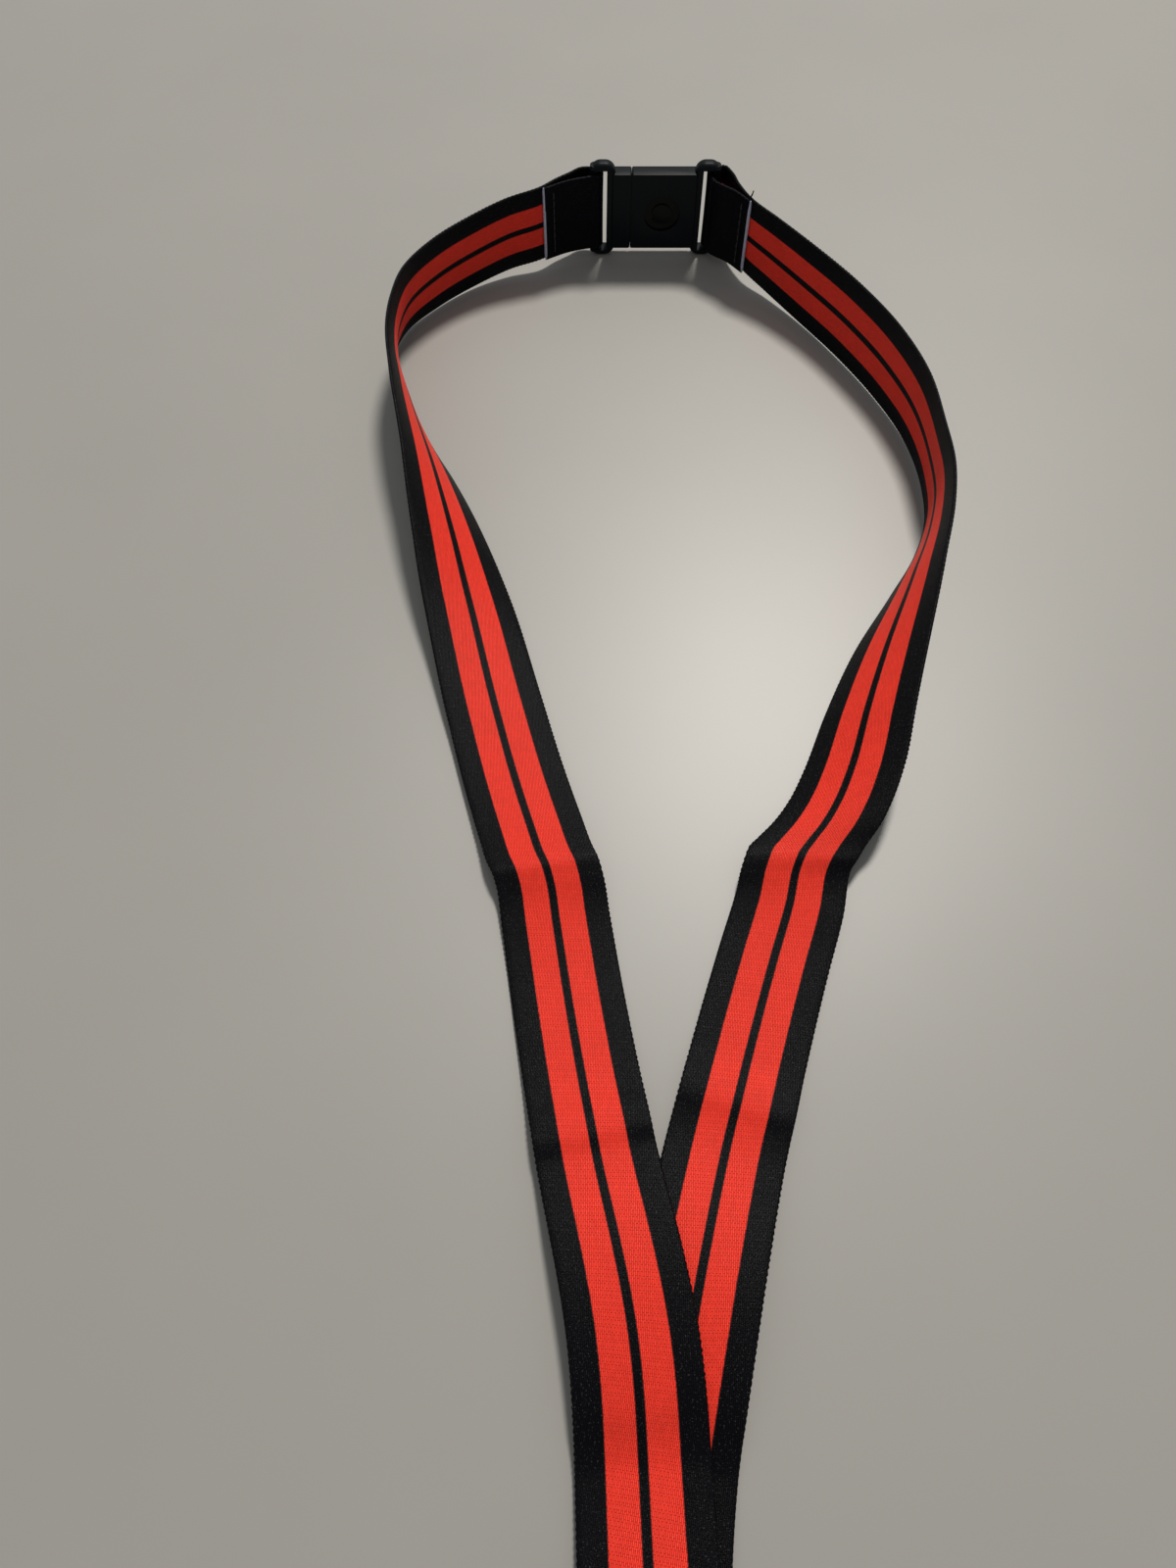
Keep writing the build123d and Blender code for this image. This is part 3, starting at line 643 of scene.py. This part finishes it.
# ---- operators ---------------------------------------------------------------------------------
def strap_lines(look):
    """Both straps' lines, by side."""
    step = look.step / MM
    left = strap_keys(LEFT_ROUTE, LEFT_LEAN, LEFT, LEFT_BEHIND, LEFT_TURN, LEFT_FRONT, PLUG_BAR_X,
                      OUTER_TURN, FLAT_Z + 3 * LAYER, FLAT_Z)
    right = strap_keys(RIGHT_ROUTE, RIGHT_LEAN, RIGHT, RIGHT_BEHIND, RIGHT_TURN, RIGHT_FRONT,
                       SOCKET_BAR_X, INNER_TURN, FLAT_Z + 2 * LAYER, FLAT_Z + LAYER)
    return {LEFT: strap_line(*left, LEFT, LEFT_LIFT, LEFT_BOW, step),
            RIGHT: strap_line(*right, RIGHT, RIGHT_LIFT, RIGHT_BOW, step)}


def strap_cloth(look):
    """The webbing's material, made once for both straps."""
    return bpy.data.materials.get("striped_satin_webbing") or webbing(look)


class LANYARD_OT_left_strap(bpy.types.Operator):
    """Add the left strap, which follows the plug half when the buckle comes apart"""
    bl_idname = "lanyard.left_strap"
    bl_label = "Left strap"

    def execute(self, context):
        look = context.scene.lanyard_strap
        line = strap_lines(look)[LEFT]
        strap = strap_mesh("left_strap", line, look.thickness / MM, strap_cloth(look), 3)
        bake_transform(strap)
        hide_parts("left_strap_end", "left_tail_strap", "left_neck_strap",
                    "left_strap_fold")
        print("left strap length", round(line["along"][-1], 1))
        return {"FINISHED"}


class LANYARD_OT_right_strap(bpy.types.Operator):
    """Add the right strap, which stays with the socket half"""
    bl_idname = "lanyard.right_strap"
    bl_label = "Right strap"

    def execute(self, context):
        look = context.scene.lanyard_strap
        line = strap_lines(look)[RIGHT]
        strap = strap_mesh("right_strap", line, look.thickness / MM, strap_cloth(look), 8)
        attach(strap, "root")
        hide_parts("right_strap_end", "right_tail_strap", "right_neck_strap",
                    "right_strap_fold")
        print("right strap length", round(line["along"][-1], 1))
        return {"FINISHED"}


class LANYARD_OT_cut_edges(bpy.types.Operator):
    """Add the pale fused edges where the folded ends were cut with heat"""
    bl_idname = "lanyard.cut_edges"
    bl_label = "Cut edges"

    def execute(self, context):
        look = context.scene.lanyard_strap
        material = fused_edge(tuple(look.cut_colour))
        rng = np.random.default_rng(5)
        for side, name, body in ((LEFT, "left_cut_edge", "plug"), (RIGHT, "right_cut_edge", "root")):
            line = strap_lines(look)[side]
            across = np.linspace(0.05, WIDTH - 0.05, 60)
            shake = np.convolve(rng.normal(0, 0.05, 64), np.ones(5) / 5, "valid")
            path = strap_point(line, line["along"][-1] + 0.02 + shake * 0.6, across, shake * 0.5)
            ups = np.broadcast_to(line["face"][-1], path.shape)
            ends = 1 - 0.5 * np.abs(np.linspace(-1, 1, 60))**14
            radius = (look.thickness / MM / 2 + 0.03 + shake * 0.5) * ends
            bead = tubes(name, path[None], radius[None], ups[None], 10, material)
            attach(bead, body)
        return {"FINISHED"}


class LANYARD_OT_stitching(bpy.types.Operator):
    """Add the rows of stitches on the folded ends and the crossed box on the tails"""
    bl_idname = "lanyard.stitching"
    bl_label = "Stitching"

    def execute(self, context):
        look, thread = context.scene.lanyard_strap, context.scene.lanyard_thread
        lines = strap_lines(look)
        material = sewing_thread(tuple(thread.colour))
        radius, pitch = thread.radius / MM, thread.pitch / MM
        half = look.thickness / MM / 2
        for side, name, body in ((LEFT, "left_fold_stitch", "plug"),
                                 (RIGHT, "right_fold_stitch", "root")):
            line = lines[side]
            count = int((WIDTH - 2 * ROW_MARGIN) / pitch)
            low = ROW_MARGIN + np.arange(count) * pitch
            place = line["along"][-1] - ROW_INSET
            starts = strap_point(line, place, low + HOLE, -half)
            ends = strap_point(line, place, low + pitch - HOLE, -half)
            ups = np.broadcast_to(-line["face"][-8], starts.shape)
            self.finish(stitches(name + "es", starts, ends, ups, radius, material), name, body)
        corner = np.array(BOX_CORNERS)
        runs = [(0, 1), (1, 2), (2, 3), (3, 0), (0, 2), (1, 3)]
        line = lines[LEFT]
        stack = line["along"][np.argmin(np.abs(line["middle"][:, 1] - STACK_Y)
                                        + (line["middle"][:, 2] < 2) * 100)]
        starts, ends = [], []
        for a, b in runs:
            run = corner[b] - corner[a]
            share = np.arange(round(np.hypot(*run) / pitch) + 1) / round(np.hypot(*run) / pitch)
            at = corner[a] + run * share[:, None]
            gap = HOLE * run / np.hypot(*run)
            starts.append(at[:-1] + gap)
            ends.append(at[1:] - gap)
        starts, ends = np.concatenate(starts), np.concatenate(ends)
        starts = strap_point(line, stack - starts[:, 1], starts[:, 0], half)
        ends = strap_point(line, stack - ends[:, 1], ends[:, 0], half)
        ups = np.tile([0.0, 0.0, 1.0], (len(starts), 1))
        self.finish(stitches("tail_stitches", starts, ends, ups, radius, material),
                    "tail_stitch", "root")
        return {"FINISHED"}

    def finish(self, row, node, body):
        """Fix a row of stitches to its body."""
        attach(row, body)
        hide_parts(node)


class LANYARD_OT_loose_thread(bpy.types.Operator):
    """Add the end of the sewing thread that stands up beside the right cut edge"""
    bl_idname = "lanyard.loose_thread"
    bl_label = "Loose thread"

    def execute(self, context):
        thread = context.scene.lanyard_thread
        low, high = corners("loose_thread_end")
        t = np.linspace(0, 1, 24)
        x = low[0] + 1.6 + 1.1 * t + 0.25 * np.sin(3.1 * t)
        y = high[1] - 0.2 - (high[1] - low[1] - 0.4) * t**2
        z = low[2] + (high[2] - low[2] - 0.6) * t
        path = np.stack([x, y, z], 1)
        radius = 1.25 * thread.radius / MM * (1 - 0.35 * t**3)
        made = tubes("loose_thread", path[None], radius[None], np.array([0.0, 1.0, 0.0]), 8,
                     bpy.data.materials["sewing_thread"])
        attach(made, "root")
        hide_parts("loose_thread_end")
        return {"FINISHED"}


class LANYARD_OT_buckle(bpy.types.Operator):
    """Add the two moulded halves of the breakaway buckle"""
    bl_idname = "lanyard.buckle"
    bl_label = "Breakaway buckle"

    def execute(self, context):
        look = context.scene.lanyard_buckle
        material = moulded_plastic(tuple(look.colour))
        edge = look.edge / MM
        finished_copy("socket_half", "buckle_socket", material, "root", edge)
        finished_copy("plug_half", "buckle_plug", material, "plug", edge)
        return {"FINISHED"}


class LANYARD_OT_hook(bpy.types.Operator):
    """Add the swivel eye, the hook, its gate and the pin that the gate turns on"""
    bl_idname = "lanyard.hook"
    bl_label = "Badge hook"

    def execute(self, context):
        look = context.scene.lanyard_hook
        nickel = metal("nickel_plate", tuple(look.nickel), 0.16, 0.34, 900.0)
        steel = metal("drawn_steel", tuple(look.steel), 0.22, 0.42, 1600.0)
        edge = look.edge / MM
        finished_copy("swivel_eye", "hook_eye", nickel, "eye", edge * 0.7)
        finished_copy("hook_body", "hook_casting", nickel, "hook", edge)
        finished_copy("gate", "hook_gate", nickel, "gate", edge * 0.6)
        finished_copy("gate_pin", "hook_rivet", steel, "hook", edge * 0.3)
        return {"FINISHED"}


class LANYARD_OT_gate_spring(bpy.types.Operator):
    """Add the coil spring that closes the gate, wound round the gate's pin"""
    bl_idname = "lanyard.gate_spring"
    bl_label = "Gate spring"

    def execute(self, context):
        look = context.scene.lanyard_hook
        low, high = corners("gate_spring")
        wire = look.wire / MM
        centre = (low + high) / 2
        coil = (high[0] - low[0]) / 2 - wire
        turns = 2.25
        t = np.linspace(0, 1, 110)
        angle = 2 * np.pi * turns * t
        path = np.stack([centre[0] + coil * np.cos(angle), centre[1] + coil * np.sin(angle),
                         low[2] + wire + (high[2] - low[2] - 2 * wire) * t], 1)
        steel = bpy.data.materials["drawn_steel"]
        spring = tubes("gate_coil", path[None], wire, np.array([0.0, 0.0, 1.0]), 10, steel)
        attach(spring, frame["nodes"]["gate_spring"]["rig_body"])
        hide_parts("gate_spring")
        return {"FINISHED"}


class LANYARD_OT_stage(bpy.types.Operator):
    """Add the table top, the lamp, the light all round, and the camera"""
    bl_idname = "lanyard.stage"
    bl_label = "Stage"

    def execute(self, context):
        look = context.scene.lanyard_stage
        scene = context.scene
        half = 2500.0
        corner = np.array([[-half, -half, 0], [half, -half, 0], [half, half, 0], [-half, half, 0]])
        floor = mesh_object("table_top", corner, [np.array([[0, 1, 2, 3]])],
                            table_top(tuple(look.floor_colour)), False)
        lamp = bpy.data.lights.new("ceiling_lamp", "AREA")
        lamp.shape = "DISK"
        lamp.size = look.lamp_size
        lamp.energy = look.lamp_power
        lamp.color = (1.0, 0.965, 0.91)
        shining = bpy.data.objects.new("ceiling_lamp", lamp)
        shining.location = (0.374, 1.354, 2.03)
        shining.rotation_euler = (-shining.location).to_track_quat("-Z", "Y").to_euler()
        scene.collection.objects.link(shining)
        world = bpy.data.worlds.new("room_light")
        world.use_nodes = True
        glow = world.node_tree.nodes["Background"]
        glow.inputs["Color"].default_value = (0.93, 0.96, 1.0, 1.0)
        glow.inputs["Strength"].default_value = look.sky
        scene.world = world
        camera = bpy.data.objects.new("camera", bpy.data.cameras.new("camera"))
        camera.location = (-0.016, -0.046, 0.1926)
        camera.rotation_euler = (math.radians(30), 0, 0)
        camera.data.sensor_fit = "VERTICAL"
        camera.data.sensor_height = 36
        camera.data.lens = 25.875
        camera.data.clip_start = 0.005
        scene.collection.objects.link(camera)
        scene.camera = camera
        scene.view_settings.view_transform = "Standard"
        return {"FINISHED"}


class LANYARD_PT_panel(bpy.types.Panel):
    """The lanyard's pieces and settings"""
    bl_idname = "LANYARD_PT_panel"
    bl_label = "Woven lanyard"
    bl_space_type = "VIEW_3D"
    bl_region_type = "UI"
    bl_category = "Lanyard"

    def draw(self, context):
        for operator in OPERATORS:
            self.layout.operator(operator.bl_idname)
        for group in SETTINGS:
            settings = getattr(context.scene, group)
            for key in settings.__annotations__:
                self.layout.prop(settings, key)


OPERATORS = (LANYARD_OT_stage, LANYARD_OT_left_strap, LANYARD_OT_right_strap,
             LANYARD_OT_cut_edges, LANYARD_OT_stitching, LANYARD_OT_loose_thread,
             LANYARD_OT_buckle, LANYARD_OT_hook, LANYARD_OT_gate_spring)
SETTINGS = {"lanyard_strap": LanyardStrapSettings, "lanyard_thread": LanyardThreadSettings,
            "lanyard_buckle": LanyardBuckleSettings, "lanyard_hook": LanyardHookSettings,
            "lanyard_stage": LanyardStageSettings}


def register():
    """Add the settings, operators and panel."""
    for name, group in SETTINGS.items():
        bpy.utils.register_class(group)
        setattr(bpy.types.Scene, name, PointerProperty(type=group))
    for cls in (*OPERATORS, LANYARD_PT_panel):
        bpy.utils.register_class(cls)


def unregister():
    """Remove them again."""
    for cls in (LANYARD_PT_panel, *reversed(OPERATORS)):
        bpy.utils.unregister_class(cls)
    for name, group in reversed(SETTINGS.items()):
        delattr(bpy.types.Scene, name)
        bpy.utils.unregister_class(group)


def main():
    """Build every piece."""
    register()
    for operator in OPERATORS:
        group, name = operator.bl_idname.split(".")
        getattr(getattr(bpy.ops, group), name)()


if __name__ == "__main__":
    main()
